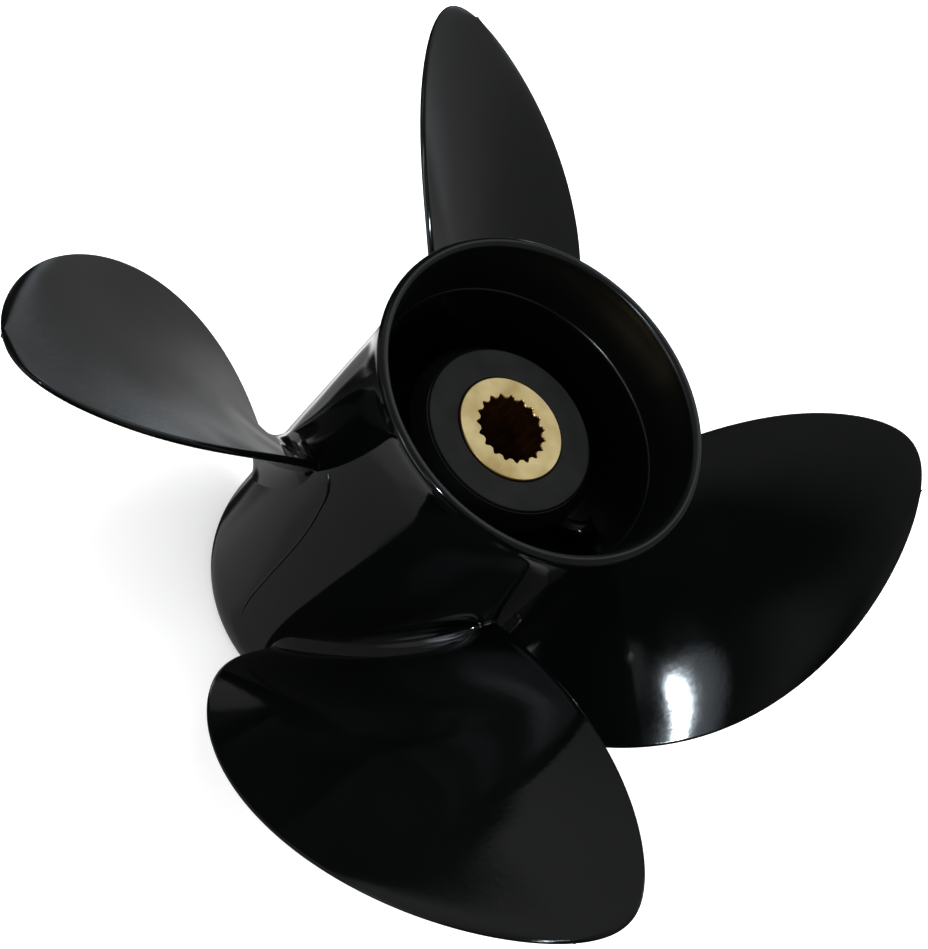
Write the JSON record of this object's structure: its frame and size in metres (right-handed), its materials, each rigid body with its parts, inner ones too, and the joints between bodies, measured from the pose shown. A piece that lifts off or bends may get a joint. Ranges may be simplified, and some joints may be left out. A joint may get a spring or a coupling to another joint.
{
  "type": "outboard propeller",
  "caption": "Black four-blade outboard or sterndrive propeller with a flared exhaust mouth, rubber bush and brass splined sleeve, 365 mm over the tips.",
  "frame": {"origin": "shaft axis at the fore end face of the hub", "axes": "+Z along the shaft axis from the fore end to the aft exhaust mouth, +X through the root line of blade 1"},
  "size_m": [0.3526, 0.3526, 0.1774],
  "materials": {
    "gloss_black_paint": "gloss black paint on cast aluminium",
    "duct_black_paint": "black paint, less glossy in the duct",
    "bush_rubber": "matt",
    "sleeve_brass": "turned"
  },
  "bodies": {
    "root": {"hub_barrel": "gloss_black_paint", "blade_1": "gloss_black_paint", "blade_2": "gloss_black_paint", "blade_3": "gloss_black_paint", "blade_4": "gloss_black_paint", "exhaust_rib_1": "duct_black_paint", "exhaust_rib_2": "duct_black_paint", "exhaust_rib_3": "duct_black_paint", "exhaust_rib_4": "duct_black_paint", "inner_hub": "duct_black_paint", "rubber_bush": "bush_rubber", "splined_sleeve": "sleeve_brass"}
  },
  "joints": []
}
